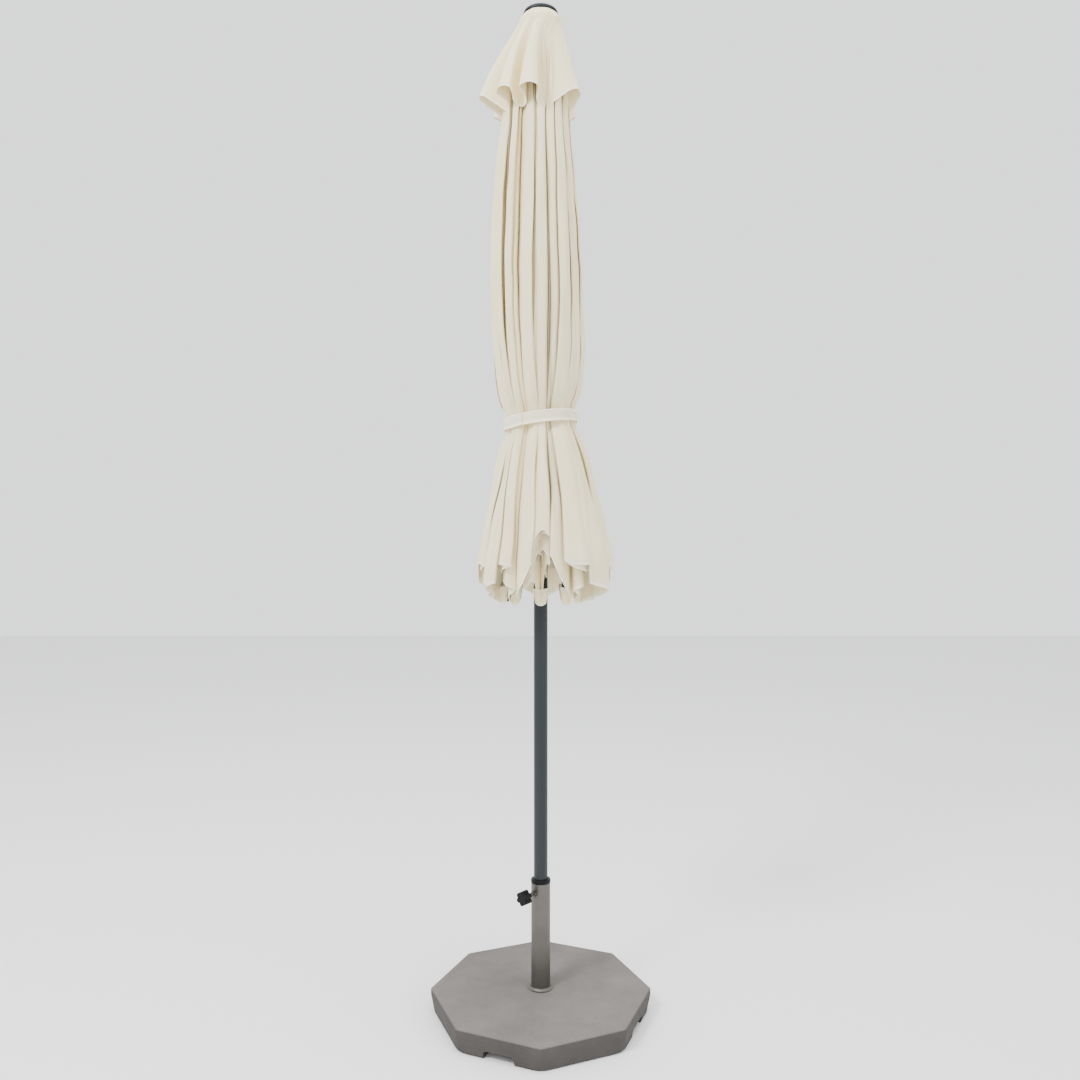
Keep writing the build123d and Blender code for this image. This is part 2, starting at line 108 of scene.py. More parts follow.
def cloth_mesh(name, points, flat, edges):
    """A sheet of rows and columns of points. flat holds its flat coordinates, and edges each
    point's distances from the nearest seam and from the hem, all in metres."""
    rows, columns = points.shape[:2]
    faces = []
    for row in range(rows - 1):
        for column in range(columns - 1):
            here = row * columns + column
            faces.append((here, here + 1, here + columns + 1, here + columns))
    mesh = bpy.data.meshes.new(name)
    mesh.from_pydata(points.reshape(-1, 3).tolist(), [], faces)
    mesh.polygons.foreach_set("use_smooth", [True] * len(mesh.polygons))
    obj = bpy.data.objects.new(name, mesh)
    bpy.context.scene.collection.objects.link(obj)
    add_map(obj, "flat", flat)
    add_map(obj, "edges", edges)
    obj.data.materials.append(MATERIALS["canopy_fabric"])
    return obj


# ---------------------------------------------------------------- materials
class Nodes:
    """Short ways to add nodes to one material."""

    def __init__(self, name, **shader):
        self.material = bpy.data.materials.new(name)
        self.material.use_nodes = True
        self.tree = self.material.node_tree
        self.shader = self.tree.nodes["Principled BSDF"]
        for socket, value in shader.items():
            self.shader.inputs[socket.replace("_", " ")].default_value = value

    def add(self, kind, inputs=None, **settings):
        node = self.tree.nodes.new(kind)
        for key, value in settings.items():
            setattr(node, key, value)
        for key, value in (inputs or {}).items():
            if isinstance(value, bpy.types.NodeSocket):
                self.tree.links.new(value, node.inputs[key])
            else:
                node.inputs[key].default_value = value
        return node

    def place(self, scale=(1, 1, 1), uv=False):
        """Coordinates in metres: the object's own, or the cloth's flat cut."""
        if uv:
            source = self.add("ShaderNodeUVMap", uv_map="flat").outputs["UV"]
        else:
            source = self.add("ShaderNodeTexCoord").outputs["Object"]
        return self.add("ShaderNodeMapping", {"Vector": source, "Scale": scale}).outputs["Vector"]

    def noise(self, vector, scale, detail=4.0, rough=0.55):
        inputs = {"Vector": vector, "Scale": scale, "Detail": detail, "Roughness": rough}
        return self.add("ShaderNodeTexNoise", inputs).outputs["Fac"]

    def ramp(self, value, stops):
        node = self.add("ShaderNodeValToRGB", {"Fac": value})
        elements = node.color_ramp.elements
        while len(elements) < len(stops):
            elements.new(0.5)
        for element, (place, colour) in zip(elements, stops):
            element.position = place
            element.color = (*colour, 1) if len(colour) == 3 else (colour[0],) * 3 + (1,)
        return node.outputs["Color"]

    def math(self, operation, a, b=0.0):
        node = self.add("ShaderNodeMath", operation=operation)
        for socket, value in zip(node.inputs, (a, b)):
            if isinstance(value, bpy.types.NodeSocket):
                self.tree.links.new(value, socket)
            else:
                socket.default_value = value
        return node.outputs[0]

    def mix(self, factor, a, b, blend="MIX"):
        node = self.add("ShaderNodeMix", data_type="RGBA", blend_type=blend)
        for key, value in (("Factor", factor), ("A", a), ("B", b)):
            socket = next(s for s in node.inputs if s.name == key and s.type in ("RGBA", "VALUE")
                          and (key == "Factor") == (s.type == "VALUE"))
            if isinstance(value, bpy.types.NodeSocket):
                self.tree.links.new(value, socket)
            else:
                socket.default_value = value
        return next(s for s in node.outputs if s.type == "RGBA")

    def colour(self, output):
        self.tree.links.new(output, self.shader.inputs["Base Color"])

    def rough(self, output, low, high):
        spread = self.add("ShaderNodeMapRange", {"Value": output, "To Min": low, "To Max": high})
        self.tree.links.new(spread.outputs["Result"], self.shader.inputs["Roughness"])

    def bump(self, layers):
        """layers: (height output, distance in metres, strength), the coarsest first."""
        normal = None
        for height, distance, strength in layers:
            inputs = {"Height": height, "Distance": distance, "Strength": strength}
            if normal:
                inputs["Normal"] = normal
            normal = self.add("ShaderNodeBump", inputs).outputs["Normal"]
        self.tree.links.new(normal, self.shader.inputs["Normal"])


WALL_TOP = 0.0555  # where the slab's side walls end, below its soft shoulder
# painted shade: how bright the side walls are painted, as a share of the top
WALL_SHADE = 0.42


def concrete():
    """Cast concrete: clouded, sandy, with a few dark specks and pits, and painted shade on its side walls.
    """
    n = Nodes("concrete", Specular_IOR_Level=0.25)
    where = n.place()
    cloud = n.noise(where, 9, 6)
    sand = n.noise(where, 420, 3)
    specks = n.noise(where, 160, 2, 0.4)
    base = n.ramp(cloud, [(0.3, (0.120, 0.111, 0.104)), (0.7, (0.164, 0.150, 0.142))])
    # painted shade: the side walls are painted darker than the top, as if lit from above
    height = n.add("ShaderNodeSeparateXYZ", {"Vector": n.place()}).outputs["Z"]
    band = {"From Min": WALL_TOP - 0.001, "From Max": WALL_TOP + 0.001, "To Min": WALL_SHADE, "To Max": 1.0}
    painted_wall_shade = n.add("ShaderNodeMapRange", {"Value": height, **band}).outputs["Result"]
    base = n.mix(1.0, base, n.ramp(painted_wall_shade, [(0.0, (0.0,)), (1.0, (1.0,))]), "MULTIPLY")
    grain = n.ramp(sand, [(0.35, (0.84,)), (0.65, (1.0,))])
    dark = n.ramp(specks, [(0.22, (0.7,)), (0.30, (1.0,))])
    n.colour(n.mix(1.0, n.mix(1.0, base, grain, "MULTIPLY"), dark, "MULTIPLY"))
    n.rough(sand, 0.75, 0.95)
    pits = n.ramp(specks, [(0.22, (0.0,)), (0.33, (1.0,))])
    n.bump([(cloud, 0.002, 0.4), (pits, 0.0008, 0.5), (sand, 0.0004, 0.5)])
    return n.material


def brushed(name, colour, roughness=(0.24, 0.42)):
    """Metal with fine brush lines round it and faint patches."""
    n = Nodes(name, Metallic=1.0)
    where = n.place((30, 30, 900))
    lines = n.noise(where, 1, 3)
    patches = n.noise(n.place(), 14, 4)
    low = tuple(c * 0.82 for c in colour)
    n.colour(n.mix(n.ramp(patches, [(0.35, (0.0,)), (0.7, (1.0,))]), (*low, 1), (*colour, 1)))
    n.rough(lines, *roughness)
    n.bump([(lines, 0.00012, 0.35)])
    return n.material


def plastic(name, colour):
    """Moulded plastic: a fine grain, a little paler and rougher where it is handled."""
    n = Nodes(name, Specular_IOR_Level=0.12)
    where = n.place()
    texture = n.noise(where, 1400, 2)
    wear = n.noise(where, 40, 5)
    worn = tuple(min(1, c * 1.6 + 0.002) for c in colour)
    n.colour(n.mix(n.ramp(wear, [(0.55, (0.0,)), (0.85, (1.0,))]), (*colour, 1), (*worn, 1)))
    n.rough(wear, 0.38, 0.55)
    n.bump([(texture, 0.00008, 0.5)])
    return n.material


def paint(name, colour):
    """Powder coat: satin, with a fine orange peel and faint rub marks along the tube."""
    n = Nodes(name, Specular_IOR_Level=0.32)
    where = n.place()
    peel = n.noise(where, 700, 2)
    rub = n.noise(n.place((60, 60, 4)), 1, 4)
    light = tuple(c * 1.25 for c in colour)
    n.colour(n.mix(n.ramp(rub, [(0.4, (0.0,)), (0.75, (1.0,))]), (*colour, 1), (*light, 1)))
    n.rough(rub, 0.34, 0.48)
    n.bump([(peel, 0.00006, 0.5)])
    return n.material


HEM_FOLD = 0.0115  # how wide the doubled cloth along a hem is
STITCH_ROWS = (0.0085, 0.0105)  # distances of the stitches from the hem
SEAM_LINE = 0.006  # distance of the felled seam's stitching from the seam


def fabric(name):
    """Plain-woven polyester: warp and weft, soft folds, slubs and, by a hem or a seam, stitching."""
    n = Nodes(name, Specular_IOR_Level=0.2, Sheen_Weight=0.15, Sheen_Roughness=0.5,
              Subsurface_Weight=0.3, Subsurface_Scale=0.008)
    n.shader.inputs["Subsurface Radius"].default_value = (1.0, 0.8, 0.5)
    flat = n.place(uv=True)
    threads = []
    for direction, scale in (("X", 380.0), ("Y", 330.0)):
        wave = {"Vector": flat, "Scale": scale, "Distortion": 0.6}
        threads.append(n.add("ShaderNodeTexWave", wave, bands_direction=direction).outputs["Fac"])
    weave = n.math("MAXIMUM", *threads)
    slubs = n.noise(n.place((40, 900, 1), uv=True), 1, 2)
    cloud = n.noise(flat, 5, 4)
    creases = n.noise(n.place((14, 5, 1), uv=True), 1, 5, 0.6)
    base = n.ramp(cloud, [(0.3, (0.905, 0.755, 0.43)), (0.7, (0.95, 0.825, 0.51))])
    thread = n.ramp(weave, [(0.0, (0.93,)), (0.6, (1.0,))])
    colour = n.mix(1.0, base, thread, "MULTIPLY")
    colour = n.mix(1.0, colour, n.ramp(slubs, [(0.3, (0.965,)), (0.5, (1.0,))]), "MULTIPLY")
    # sewing: a double row of stitches inside each hem, and a felled seam along each rib
    edges = n.add("ShaderNodeUVMap", uv_map="edges").outputs["UV"]
    apart = n.add("ShaderNodeSeparateXYZ", {"Vector": edges})
    from_seam, from_hem = apart.outputs["X"], apart.outputs["Y"]
    sideways = n.add("ShaderNodeSeparateXYZ", {"Vector": flat}).outputs["X"]
    dashes = n.math("GREATER_THAN", n.math("SINE", n.math("MULTIPLY", sideways, 1600.0)), -0.5)

    def line(distance, place, half_width):
        away = n.math("ABSOLUTE", n.math("SUBTRACT", distance, place))
        return n.math("LESS_THAN", away, half_width)

    rows = n.math("MAXIMUM", *(line(from_hem, place, 0.0004) for place in STITCH_ROWS))
    stitches = n.math("MULTIPLY", rows, dashes)
    sewn = n.math("MAXIMUM", stitches, line(from_seam, SEAM_LINE, 0.0005))
    doubled = n.math("LESS_THAN", from_hem, HEM_FOLD)
    colour = n.mix(n.math("MULTIPLY", doubled, 0.5), colour, (0.95, 0.89, 0.72, 1))
    colour = n.mix(n.math("MULTIPLY", sewn, 0.35), colour, (0.55, 0.50, 0.38, 1))
    n.colour(colour)
    n.rough(slubs, 0.78, 0.92)
    n.bump([(creases, 0.004, 0.3), (doubled, 0.0008, 0.6), (sewn, -0.0006, 0.8), (weave, 0.00012, 0.4)])
    return n.material


MATERIALS = {
    "concrete": concrete(),
    "zinc_steel": brushed("zinc_steel", (0.45, 0.45, 0.46)),
    "brushed_steel": brushed("brushed_steel", (0.150, 0.141, 0.130), roughness=(0.44, 0.58)),
    "spigot_steel": brushed("spigot_steel", (0.42, 0.42, 0.42)),
    "dark_metal": brushed("dark_metal", (0.14, 0.13, 0.12)),
    "black_plastic": plastic("black_plastic", (0.004, 0.004, 0.0045)),
    "finial_plastic": plastic("finial_plastic", (0.016, 0.019, 0.024)),
    "pole_paint": paint("pole_paint", (0.0085, 0.0125, 0.0145)),
    "rib_paint": paint("rib_paint", (0.009, 0.010, 0.012)),
    "canopy_fabric": fabric("canopy_fabric"),
}
for part in record["subparts"]:
    node = frame["nodes"][part["node"]]
    node.data.materials.clear()
    node.data.materials.append(MATERIALS[part["material_slot"]])


# ---------------------------------------------------------------- camera, light and floor
camera = bpy.data.objects.new("camera", bpy.data.cameras.new("camera"))
camera.data.sensor_width = 36.0
camera.data.lens = 30.4
camera.location = (-0.0018, -2.304, 1.188)
camera.rotation_euler = (math.pi / 2, 0, 0)  # level, looking along +Y
bpy.context.scene.collection.objects.link(camera)
bpy.context.scene.camera = camera


def area_light(name, place, size, power):
    """A white disc light aimed at the middle of the umbrella."""
    data = bpy.data.lights.new(name, "AREA")
    data.shape, data.size, data.energy = "DISK", size, power
    light = bpy.data.objects.new(name, data)
    light.location = place
    light.rotation_euler = (Vector((0, 0, 1.3)) - Vector(place)).to_track_quat("-Z", "Y").to_euler()
    bpy.context.scene.collection.objects.link(light)


area_light("key", (-2.4, -2.6, 4.4), 1.4, 260)
area_light("top", (0.6, -0.6, 5.2), 2.4, 120)
area_light("fill", (3.4, -2.6, 2.4), 2.6, 40)

world = bpy.data.worlds.new("studio")
world.use_nodes = True
sky = world.node_tree.nodes["Background"]
sky.inputs["Color"].default_value = (0.97, 0.985, 1.0, 1)
sky.inputs["Strength"].default_value = 1.75
bpy.context.scene.world = world

FLOOR = 9  # half the floor's width
floor_mesh = bpy.data.meshes.new("floor")
floor_corners = [(-FLOOR, -FLOOR, 0), (FLOOR, -FLOOR, 0), (FLOOR, FLOOR, 0), (-FLOOR, FLOOR, 0)]
floor_mesh.from_pydata(floor_corners, [], [(0, 1, 2, 3)])
floor = bpy.data.objects.new("floor", floor_mesh)
floor_look = Nodes("floor", Roughness=0.9, Specular_IOR_Level=0.1)
floor_look.shader.inputs["Base Color"].default_value = (0.84, 0.84, 0.83, 1)
floor_mesh.materials.append(floor_look.material)
bpy.context.scene.collection.objects.link(floor)

# ---------------------------------------------------------------- furled canopy
# The canopy is eight gores with straight hems. rho is a point's distance from the apex along
# the cloth, and psi its angle in the gore's flat cut. Furled, a point hangs rho below the apex,
# and the gore's width lies to and fro in pleats that shingle from the back to the front, where
# the left side's last pleats lie over the right side's.
HUB_R = -joints["rib_1_swing"]["pos_m"][1]
HUB_Z = joints["rib_1_swing"]["pos_m"][2]
RIB_REST = math.radians(2.0)  # a furled rib's lean from the pole
RIB_SWING = math.radians(74.0103)  # how far a rib swings to the open canopy
UNFOLD = math.radians(53.260031)  # how far a panel turns then, relative to its rib
CUT_ANGLE = 2 * math.asin(math.sin(RIB_REST + RIB_SWING) * math.sin(SECTOR / 2))
APEX_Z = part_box("canopy_crown")[1].z + 0.002
HEM_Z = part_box("rib_tip_1")[0].z - 0.004
RIB_CUT = APEX_Z - HEM_Z  # length of a gore's seam, along the rib
HEM_CUT = RIB_CUT * math.cos(CUT_ANGLE / 2)  # length of a gore down its middle
STRAP_Z = (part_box("tie_strap")[0].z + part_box("tie_strap")[1].z) / 2
STRAP_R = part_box("tie_strap")[1].x
STRAP_TILT = math.tan(math.radians(7))  # the strap climbs to the right
PLEATS = 4
COLUMNS = 13  # mesh columns in each layer of a pleat
LONG, SHORT = 0.59, 0.41  # how two neighbouring pleats share the cloth
OUT_SHARE = 0.52  # how much of a pleat lies in its outer layer
ROOT_R = 0.039  # radius of the pleats' roots between the ribs
RIB_OUT = 0.0095  # from a rib's axis to the cloth over it
RIB_COVER = (math.radians(7.5), math.radians(17))  # where the cloth leaves a rib, and is clear of it
UNDER_STRAP = 0.0062  # from the strap's outside to the folds that it holds
LONGEST, SHORT_REACH = 1.25, 0.6  # reach of the longest pleats and of every other one, in wrap angles
DRIFT, SWAY = 0.03, 0.09  # how much the pleats' roots and edges wander on their way down
FRONT_ROOM = {1: 0.20, -1: 0.40}  # how far past the front rib each side's last pleats may reach
LAID = 0.15  # how far a fold's edge lies down, as a share of the pleats' depth
TUCK = 0.008  # how far the right side's pleats draw in under the left side's
FLAP_AT, FLAP_LIFT = math.radians(-88), 0.085  # the caught-up flap's azimuth, and its hem's rise
HEM_WIDTH, VENT_HEM_WIDTH = 0.012, 0.010
CLOTH = 0.0006  # thickness of the canopy's cloth

# the bundle's outline, as (height, radius) on its left and right sides
LEFT = [(1.03, 0.168), (1.135, 0.168), (1.489, 0.090), (1.53, 0.106), (1.58, 0.119), (1.73, 0.135),
        (1.85, 0.139), (1.96, 0.135), (2.11, 0.123), (2.25, 0.104), (2.35, 0.081), (2.43, 0.062),
        (2.50, 0.044)]
RIGHT = [(1.03, 0.212), (1.135, 0.212), (1.40, 0.127), (1.489, 0.090), (1.53, 0.103), (1.58, 0.114),
         (1.655, 0.120), (1.85, 0.113), (1.96, 0.106), (2.11, 0.093), (2.25, 0.076), (2.35, 0.068),
         (2.43, 0.058), (2.50, 0.044)]


def along(points, z):
    """A smooth curve through given (height, radius) points."""
    heights = np.array([p[0] for p in points])
    radii = np.array([p[1] for p in points])
    z = np.asarray(z, float)
    spread = np.linspace(-0.018, 0.018, 7)
    return np.mean([np.interp(z + d, heights, radii) for d in spread], axis=0)


def outline(theta, z):
    """Radius of the bundle's outermost folds at an azimuth and height."""
    side = (1 + np.cos(theta)) / 2
    body = along(LEFT, z) + (along(RIGHT, z) - along(LEFT, z)) * side
    body = body * (1 + 0.025 * np.sin(3 * theta + 4 * z))
    held = 1 - smooth(np.abs(z - STRAP_Z - STRAP_TILT * body * np.cos(theta)), 0.017, 0.055)
    return body + (np.minimum(body, STRAP_R - UNDER_STRAP) - body) * held


def rib_face(z):
    """Radius just outside the furled ribs at a height."""
    return HUB_R + (HUB_Z - z) * math.tan(RIB_REST) + RIB_OUT


def inner(theta, z):
    """Radius of the pleats' roots: deep between ribs, and over each rib's outer face."""
    from_rib = np.abs((theta - azimuth(1) + SECTOR / 2) % SECTOR - SECTOR / 2)
    over_rib = 1 - smooth(from_rib, *RIB_COVER)
    deep = ROOT_R + 0.008 * smooth(z, 1.4, 1.1) + 0.004 * np.sin(5 * theta + 3 * z)
    deep = np.minimum(deep, outline(theta, z) - 0.014)
    face = np.minimum(rib_face(z), outline(theta, z) - 0.004)
    return deep + (np.maximum(face, deep) - deep) * over_rib


def wrap_angle(z):
    """How far a long pleat reaches round the bundle: more below the vent, at the strap and in the skirt."""
    turns = fold(z, 2.45, 2.2, 24, 38)
    turns = turns + 7 * np.exp(-((z - STRAP_Z) / 0.16) ** 2)
    return np.radians(turns + fold(z, 1.4, 1.15, 0, 6))


def shell(theta, z, progress):
    """Radius of a layer that has run progress (in wrap angles) from its root."""
    rise = 1 - (1 - np.clip(progress / LONGEST, 0, 1)) ** 2.4
    low, high = inner(theta, z), outline(theta, z)
    return low + (high - low) * rise


def tucked(side, theta, z):
    """How far the right side's pleats draw in where the left side's lie over them."""
    if side > 0:
        return 0.0
    past_front = (theta - azimuth(1) + math.pi) % (2 * math.pi) - math.pi
    return TUCK * (1 - smooth(past_front, 0.10, 0.42)) * smooth(z, 2.5, 2.3)


def pleat_edge(side, number, z):
    """Azimuths of a pleat's root and free edge. Pleats are numbered from the back rib round
    to the front one, 16 on the left side (side 1) and 16 on the right (side -1)."""
    count = PLEATS * GORES // 2
    even = math.pi * number / count
    seed = number + (40 if side < 0 else 0)
    drift = DRIFT * ripple(z * 1.3 + seed * 7.3, 20 + seed, 2)
    if number % PLEATS == 0:  # a seam, which its rib holds
        drift = drift * 0.15
    reach = SHORT_REACH if number % 2 else 1.0 + 0.2 * math.sin(seed * 2.4)
    sway = SWAY * ripple(z * 1.5 + seed * 3.1, 60 + seed, 2)
    root = even + drift
    edge = root + wrap_angle(z) * (reach + sway)
    room = math.pi + FRONT_ROOM[side] - 0.035 * (count - number) - root
    edge = root + np.minimum(edge - root, np.maximum(room, 0.04))
    return math.pi / 2 + side * root, math.pi / 2 + side * edge


def settle(points):
    """The bundle's small bumps and creases, as one smooth push that keeps layers apart."""
    x, y, z = points[..., 0], points[..., 1], points[..., 2]
    radius = np.hypot(x, y)
    theta = np.arctan2(y, x)
    loose = smooth(radius - rib_face(z), 0.0, 0.02)
    near_strap = np.exp(-((z - STRAP_Z) / 0.07) ** 2)
    push = 0.0026 * np.sin(9 * theta + 6 * z + 2 * np.sin(5 * z))
    push += 0.0016 * np.sin(19 * theta - 9 * z + 1.5 * np.sin(7 * z + 3 * theta))
    push += 0.0012 * np.sin(31 * theta + 17 * z)
    push += 0.0010 * np.sin(47 * z + 5 * theta) * np.sin(7 * theta + 6 * z)
    radius = radius + push * loose * (1 - 0.7 * near_strap)
    turn = loose * (0.010 * np.sin(9 * z + 2 * theta) + 0.004 * np.sin(23 * z - 3 * theta))
    # the flap at the front is caught up by the strap, so its hem hangs higher
    beside = (theta - FLAP_AT + math.pi) % (2 * math.pi) - math.pi
    lift = FLAP_LIFT * np.exp(-(beside / 0.22) ** 2) * smooth(z, 1.46, 1.12)
    z = z + lift * smooth(radius, 0.10, 0.135)
    return np.stack([radius * np.cos(theta + turn), radius * np.sin(theta + turn), z], axis=-1)


def turned(points, pivot, axis, angle):
    """points turned about an axis through pivot, each by its own angle."""
    axis = np.asarray(axis, float) / np.linalg.norm(axis)
    arm = points - pivot
    c, s = np.cos(angle)[..., None], np.sin(angle)[..., None]
    return pivot + arm * c + np.cross(axis, arm) * s + axis * (arm @ axis)[..., None] * (1 - c)


def share_between(points, gore, across):
    """How much each point of a gore follows the far rib, so that the open gore spreads evenly."""
    rib = joints[f"rib_{gore + 1}_swing"]
    panel = joints[f"canopy_panel_{gore + 1}_unfold"]
    first = azimuth(gore + 1)

    def open_azimuth(at, share):
        moved = turned(at, np.array(panel["pos_m"]), panel["axis"], share * UNFOLD)
        full = np.full(share.shape, RIB_SWING)
        moved = turned(moved, np.array(rib["pos_m"]), rib["axis"], full)
        angle = np.arctan2(moved[..., 1], moved[..., 0])
        return (angle - first + math.pi) % (2 * math.pi) - math.pi

    drop = HUB_Z - points[..., 2]
    out = HUB_R + drop * math.tan(RIB_REST)
    line = np.stack([out * math.cos(first), out * math.sin(first), points[..., 2]], axis=-1)
    target = open_azimuth(line, across)
    low, high = np.zeros_like(across), np.ones_like(across)
    for _ in range(24):
        middle = (low + high) / 2
        short = open_azimuth(points, middle) < target
        low, high = np.where(short, middle, low), np.where(short, high, middle)
    solved = (low + high) / 2
    sure = smooth(drop, 0.05, 0.22)
    edge = smooth(across, 0, 0.03) * smooth(across, 1, 0.97)
    return across + (solved - across) * sure * edge


def spread_with(obj, share):
    """Work out each point's place between a gore's rib and its panel from its own share, then put the
    gore's furled points back.
    """
    count = len(obj.data.vertices)
    furled = np.empty(count * 3)
    obj.data.vertices.foreach_get("co", furled)
    share = np.clip(share.reshape(-1), 0, 1)
    place = 0.5 - np.sin(np.arcsin(1 - 2 * share) / 3)
    line = np.zeros((count, 3))
    line[:, 0] = place
    obj.data.vertices.foreach_set("co", line.ravel())
    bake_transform(obj)
    obj.data.vertices.foreach_set("co", furled)
    obj.data.update()


def thicken(obj, thickness):
    """Give a sheet its thickness, half on each side."""
    solid = obj.modifiers.new("thickness", "SOLIDIFY")
    solid.thickness = thickness
    solid.offset = 0
    solid.use_even_offset = False


def row_places(count, hem_width, length):
    """Shares of the way down a gore: even, then closer over the sewn hem."""
    body = np.linspace(0.012, 1 - 1.6 * hem_width / length, count)
    hem = 1 - np.array([1.35, 1.05, 0.95, 0.5, 0.1, 0.0]) * hem_width / length
    return np.concatenate([body, hem])


def hem_drop(across):
    """How far below the apex the hem hangs: furthest at the seams, as the hem is cut straight."""
    return HEM_CUT / math.cos((across - 0.5) * CUT_ANGLE)


def layer_point(side, outward, part, root, edge, following, z, free):
    """A column of points, part of the way along a pleat's outer or returning layer.
    free is 0 on a seam, which stays on its rib, and 1 away from it."""
    wrap = wrap_angle(z)
    full = smooth(z, 2.45, 2.2)
    theta = root + (edge - root) * part if outward else edge + (following - edge) * part
    radius = shell(theta, z, side * (theta - root) / wrap)
    # the fold lies down on the pleat after it
    laid = smooth((theta - root) / (edge - root), 0.62, 1.03)
    laid = laid * LAID * (outline(theta, z) - inner(theta, z))
    if not outward:
        lower = shell(theta, z, side * (theta - following) / wrap)
        radius = radius + (lower - radius) * fold(part, 0.0, 1.0, 0.12, 1.0)
        laid = laid * (1 - fold(part, 0.0, 1.0, 0.0, 1.0)) + 0.0016 * (1 - smooth(part, -0.02, 0.12))
    radius = radius - laid * full
    radius = radius - free * tucked(side, theta, z) * smooth(radius, 0.06, 0.085)
    return np.stack([radius * np.cos(theta), radius * np.sin(theta), z], axis=-1)


def gore_grid(gore, rows):
    """Furled points of one gore, with its cut: psi and rho of each point."""
    side = 1 if gore >= GORES // 2 else -1
    first = PLEATS * ((gore - GORES // 2) if side > 0 else (GORES // 2 - 1 - gore))
    columns = []
    across = []
    start = 0.0
    for pleat in range(PLEATS):
        share = (LONG if pleat % 2 == 0 else SHORT) / (PLEATS / 2)
        turn = start + share * OUT_SHARE
        for outward, begin, end in ((True, start, turn), (False, turn, start + share)):
            t = np.linspace(0, 1, COLUMNS)
            t = t - 0.10 * np.sin(2 * math.pi * t)  # closer at the folds
            if outward or pleat < PLEATS - 1:
                t = t[:-1]
            for part in t:
                u = begin + (end - begin) * part
                z = APEX_Z - rows * hem_drop(u)
                root, edge = pleat_edge(side, first + pleat, z)
                following = pleat_edge(side, first + pleat + 1, z)[0]
                free = float(smooth(min(u, 1 - u), 0.0, 0.05))
                columns.append(layer_point(side, outward, part, root, edge, following, z, free))
                across.append(u if side > 0 else 1 - u)
        start += share
    if side < 0:
        columns.reverse()
        across.reverse()
    return np.stack(columns, axis=1), np.array(across)


def make_gore(gore):
    """One gore of the canopy, sewn to the ribs on both its sides."""
    rows = row_places(118, HEM_WIDTH, HEM_CUT)
    points, across = gore_grid(gore, rows)
    points = settle(points)
    psi = across[None, :] * CUT_ANGLE - CUT_ANGLE / 2
    down = rows[:, None] * HEM_CUT + 0 * psi
    flat = pairs(down * np.tan(psi), down)
    rho = down / np.cos(psi)
    from_seam = rho * np.sin(np.minimum(across, 1 - across)[None, :] * CUT_ANGLE)
    obj = cloth_mesh(f"canopy_gore_{gore + 1}", points, flat, pairs(from_seam, HEM_CUT - down))
    share = share_between(points, gore, np.broadcast_to(across[None, :], from_seam.shape))
    spread_with(obj, share)
    thicken(obj, CLOTH)
    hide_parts(f"canopy_panel_{gore + 1}")


for gore in range(GORES):
    make_gore(gore)

# ---------------------------------------------------------------- vent cap
# Each fold of the vent: where its crest and the valley before it stand (degrees), how far
# out its hem reaches, how high the hem is at the crest, and how far the fold rolls over.
VENT_FOLDS = [(-98, -114, 0.124, 2.284, 0.15), (-20, -74, 0.118, 2.304, 0.02),
              (30, 8, 0.118, 2.280, 0.10), (70, 50, 0.128, 2.290, 0.06),
              (112, 91, 0.122, 2.284, 0.12), (152, 132, 0.120, 2.280, 0.06),
              (190, 171, 0.143, 2.296, 0.04), (229, 212, 0.128, 2.286, 0.17)]
VENT_HEM_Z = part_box("vent_cap")[0].z - 0.032
VENT_TOP_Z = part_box("vent_cap")[1].z
VENT_LEAN = -0.014  # how far the vent's skirt sits to the left
VENT_NECK = 0.043  # radius where the vent is gathered under the cap


def make_vent(gore):
    """One gore of the vent: a fold of its skirt, from valley to valley."""
    crest, valley, reach, crest_z, roll = VENT_FOLDS[gore]
    after = VENT_FOLDS[(gore + 1) % GORES][1] + (360 if gore == GORES - 1 else 0)
    length = VENT_TOP_Z - VENT_HEM_Z
    rows = row_places(40, VENT_HEM_WIDTH, length)[:, None]
    u = np.linspace(0, 1, 49)[None, :]
    lobe = (0.5 - 0.5 * np.cos(2 * math.pi * u)) ** 0.85
    hem_z = VENT_HEM_Z + (crest_z - VENT_HEM_Z) * lobe
    z = VENT_TOP_Z + (hem_z - VENT_TOP_Z) * rows
    low = VENT_NECK + 0.012 * smooth(rows, 0.0, 0.10) + 0.019 * rows ** 1.6
    skirt = VENT_NECK + (reach - VENT_NECK) * rows ** 1.05
    high = np.maximum(skirt + 0.004 * np.sin(math.pi * rows), low)
    radius = low + (high - low) * lobe + 0.0012 * np.sin(40 * u + 9 * gore) * rows
    place = (crest - valley) / (after - valley)
    run = u + (place - 0.5) * np.sin(math.pi * u) + roll * rows ** 1.3 * np.sin(4 * math.pi * u)
    theta = np.radians(valley + (after - valley) * run)
    # the top edge is gathered evenly round the finial
    even = azimuth(gore + 1) + SECTOR * u
    theta = theta + (even - theta) * (1 - smooth(rows, 0.0, 0.25))
    shift = VENT_LEAN * smooth(rows, 0.0, 0.8)
    points = np.stack([radius * np.cos(theta) + shift, radius * np.sin(theta), z], axis=-1)
    psi = (u - 0.5) * CUT_ANGLE
    down = rows * length + 0 * psi
    from_seam = down * np.minimum(u, 1 - u) * CUT_ANGLE
    flat = pairs(down * np.tan(psi), down)
    obj = cloth_mesh(f"vent_gore_{gore + 1}", points, flat, pairs(from_seam, length - down))
    spread_with(obj, share_between(points, gore, np.broadcast_to(u, z.shape)))
    thicken(obj, CLOTH)
    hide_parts("vent_cap", "canopy_crown")


for gore in range(GORES):
    make_vent(gore)


# ---------------------------------------------------------------- tie strap and rib pockets
SEAMLESS = 0.2  # a distance that is out of reach of any seam's stitching

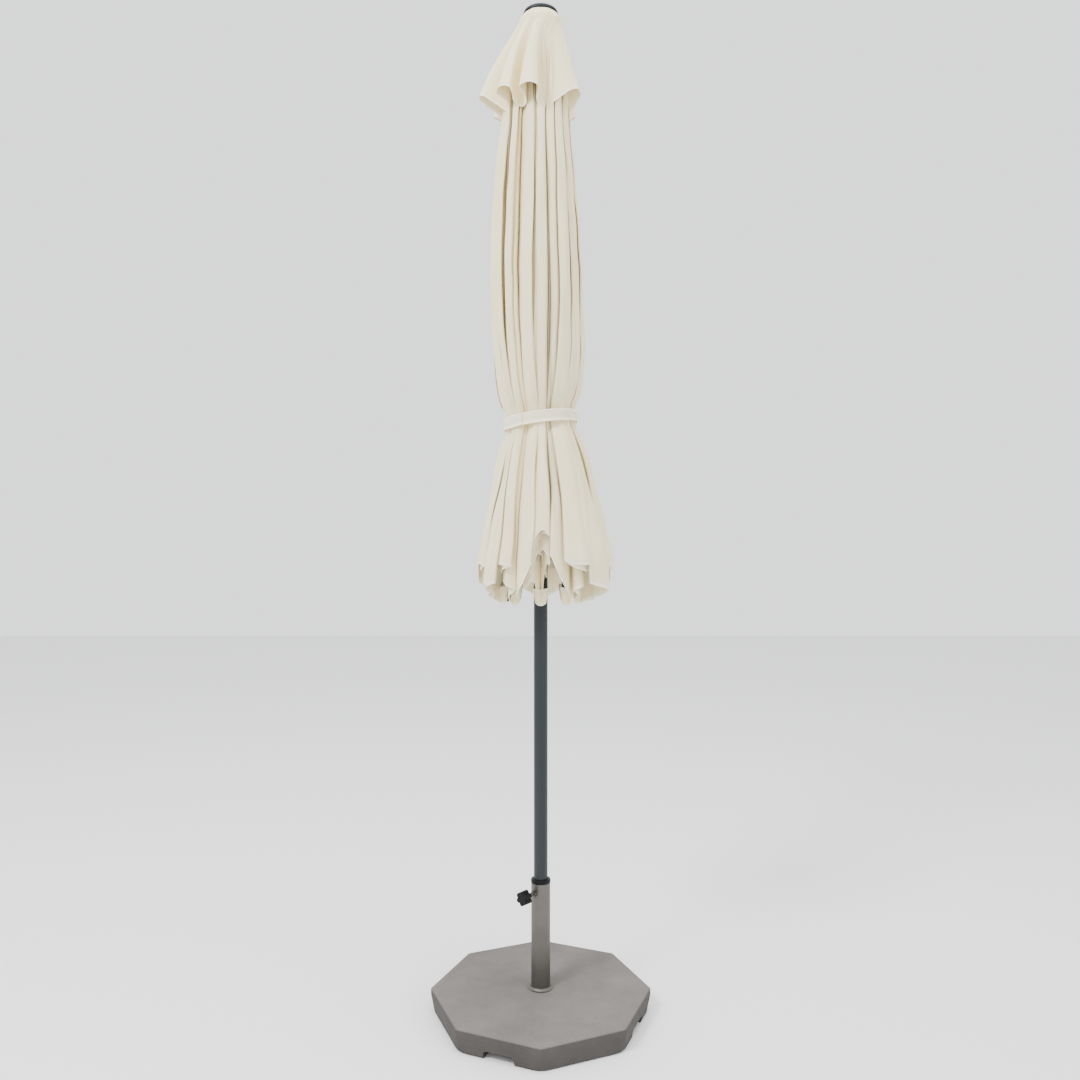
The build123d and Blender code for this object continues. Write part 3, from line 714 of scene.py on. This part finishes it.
# the strap's section, as (place across its half width, how far the cloth stands out): a rolled
# edge, a ridge of stitching and a flat middle
STRAP_EDGE = [(1.0, 0.0004), (0.96, 0.0012), (0.90, 0.0015), (0.84, 0.0012), (0.79, 0.0004), (0.3, 0.0010)]
STRAP_START, STRAP_OVERLAP = math.radians(-152), math.radians(34)
POCKET = 0.05  # length of a rib pocket's patch


def make_strap():
    """A sewn band wound once round the bundle, its end laid over its start at the front left."""
    turn = 2 * math.pi + STRAP_OVERLAP
    t = np.linspace(0, 1, 150)
    theta = STRAP_START + turn * t
    over = smooth(t, 0.86, 0.97)  # where the end lies over the start
    half = (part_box("tie_strap")[1].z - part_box("tie_strap")[0].z) / 2 - 0.001
    profile = [(-side, lift) for side, lift in STRAP_EDGE] + STRAP_EDGE[::-1]
    rings = []
    for side, lift in profile:
        wave = 0.0007 * np.sin(16 * theta + 2 * side) + 0.0006 * np.sin(29 * theta)
        radius = STRAP_R - 0.0040 + lift + wave + 0.0019 * over
        twist = 0.006 * over * (1 - t) / 0.14
        z = STRAP_Z + side * half + STRAP_TILT * radius * np.cos(theta) - twist
        rings.append(np.stack([radius * np.cos(theta), radius * np.sin(theta), z], axis=-1))
    points = np.stack(rings, axis=1)
    across = np.array([p[0] for p in profile])[None, :] * half
    length = turn * STRAP_R
    flat = pairs(across, (t * length)[:, None])
    from_edge = np.broadcast_to(half - np.abs(across), flat.shape[:2])
    obj = cloth_mesh("tie_strap_band", points, flat, pairs(SEAMLESS, from_edge))
    thicken(obj, 2 * CLOTH)
    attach(obj, "rib_5")
    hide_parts("tie_strap")
    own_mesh(obj)


make_strap()


def make_pocket(rib):
    """The doubled corner sewn over a rib's tip."""
    low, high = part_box(f"rib_tip_{rib}")
    angle = azimuth(rib)
    reach = rib_face(low.z) - 0.008
    rows = np.linspace(0, 1, 16)[:, None]
    bend = np.linspace(-1, 1, 25)[None, :]
    width = 0.0105 + 0.006 * rows
    turn = bend * math.radians(118)
    close = np.sqrt(np.clip(1 - (1 - smooth(rows, -0.05, 0.22)) ** 2, 0, 1))
    outward = reach + width * np.cos(turn) * close
    aside = width * np.sin(turn) * 1.15 * close
    z = low.z - 0.004 + 0.040 * rows + 0.006 * np.abs(bend) * rows
    points = np.stack([outward * math.cos(angle) - aside * math.sin(angle),
                       outward * math.sin(angle) + aside * math.cos(angle), z + 0 * bend], axis=-1)
    flat = pairs(bend * 0.028, rows * POCKET)
    from_hem = np.broadcast_to(POCKET * (1 - rows), flat.shape[:2])
    obj = cloth_mesh(f"rib_pocket_{rib}", points, flat, pairs(SEAMLESS, from_hem))
    thicken(obj, 0.0008)
    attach(obj, f"rib_{rib}")


for rib in range(1, GORES + 1):
    make_pocket(rib)
